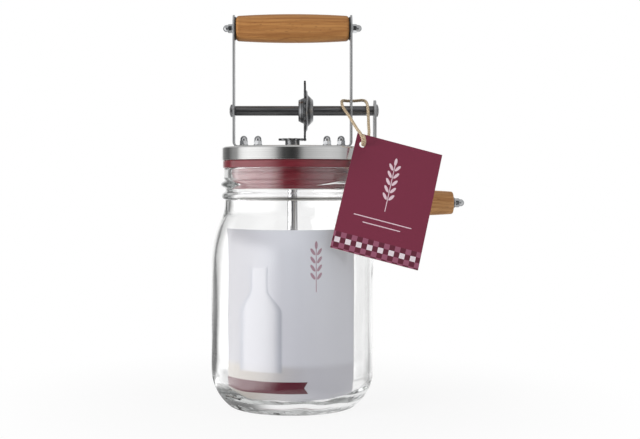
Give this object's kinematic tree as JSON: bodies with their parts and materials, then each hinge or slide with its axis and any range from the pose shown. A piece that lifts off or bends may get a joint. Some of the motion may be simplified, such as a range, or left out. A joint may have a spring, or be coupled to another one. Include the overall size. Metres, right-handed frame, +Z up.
{
  "type": "glass jar butter churn",
  "caption": "Hand-cranked butter churn: a glass jar with a lift-off lid, whose wooden-knobbed crank turns a paddle inside through a right-angle gear under a carrying handle.",
  "frame": {"origin": "centre of the jar's base, on the surface that it stands on", "axes": "+Z up along the jar's axis, +X towards the crank knob, -Y the front"},
  "size_m": [0.1798, 0.115, 0.2773],
  "materials": {
    "clear_glass": "clear pressed glass",
    "leaflet_paper": "matt printed paper",
    "cap_steel": "brushed round the rim",
    "core_plastic": "moulded",
    "red_silicone": "satin silicone",
    "bush_nylon": "moulded",
    "strap_steel": "brushed lengthwise",
    "bolt_steel": "plain zinc plate",
    "nut_chrome": "polished",
    "handle_wood": "oiled beech",
    "dark_washer": "blackened",
    "shaft_steel": "dark satin",
    "screw_steel": "satin",
    "gear_iron": "dark satin",
    "rod_steel": "bright drawn",
    "paddle_red": "moulded",
    "tag_card": "uncoated card",
    "jute_twine": "twisted jute"
  },
  "bodies": {
    "jar": {"glass_jar": "clear_glass", "recipe_leaflet": "leaflet_paper"},
    "lid": {"lid_cap": "cap_steel", "lid_core": "core_plastic", "lid_seal": "red_silicone", "lid_bush": "bush_nylon", "left_strap": "strap_steel", "right_strap": "strap_steel", "strap_bolts": "bolt_steel", "strap_nuts": "nut_chrome", "top_grip": "handle_wood", "grip_rod": "bolt_steel", "grip_washers": "dark_washer", "grip_nuts": "nut_chrome", "swing_tag": "tag_card", "tag_twine": "jute_twine"},
    "crank": {"crank_shaft": "shaft_steel", "shaft_screws": "screw_steel", "drive_wheel": "gear_iron", "wheel_grub_screw": "bolt_steel", "crank_arm": "strap_steel", "knob_pin": "bolt_steel", "knob_washers": "screw_steel", "knob_nut": "nut_chrome"},
    "knob": {"crank_knob": "handle_wood"},
    "dasher": {"pinion": "gear_iron", "pinion_pin": "bolt_steel", "dasher_rod": "rod_steel", "rod_collar": "core_plastic", "collar_screw": "bolt_steel", "dasher_paddle": "paddle_red", "paddle_pin": "bolt_steel", "dasher_nut": "nut_chrome"}
  },
  "joints": [
    {"name": "lid_lift", "type": "slide", "parent": "jar", "child": "lid", "axis": [0, 0, 1], "range_m": [0, 0.165]},
    {"name": "crank_turn", "type": "hinge", "parent": "lid", "child": "crank", "pos_m": [0, 0, 0.2085], "axis": [1, 0, 0], "continuous": true, "deforming": ["swing_tag", "tag_twine"]},
    {"name": "knob_spin", "type": "hinge", "parent": "crank", "child": "knob", "pos_m": [0.06135, 0, 0.143], "axis": [1, 0, 0], "continuous": true},
    {"name": "dasher_spin", "type": "hinge", "parent": "lid", "child": "dasher", "pos_m": [0, 0, 0.188], "axis": [0, 0, 1], "continuous": true}
  ],
  "couplings": [
    {"joint": "dasher_spin", "follows": "crank_turn", "ratio": 2.3333}
  ]
}
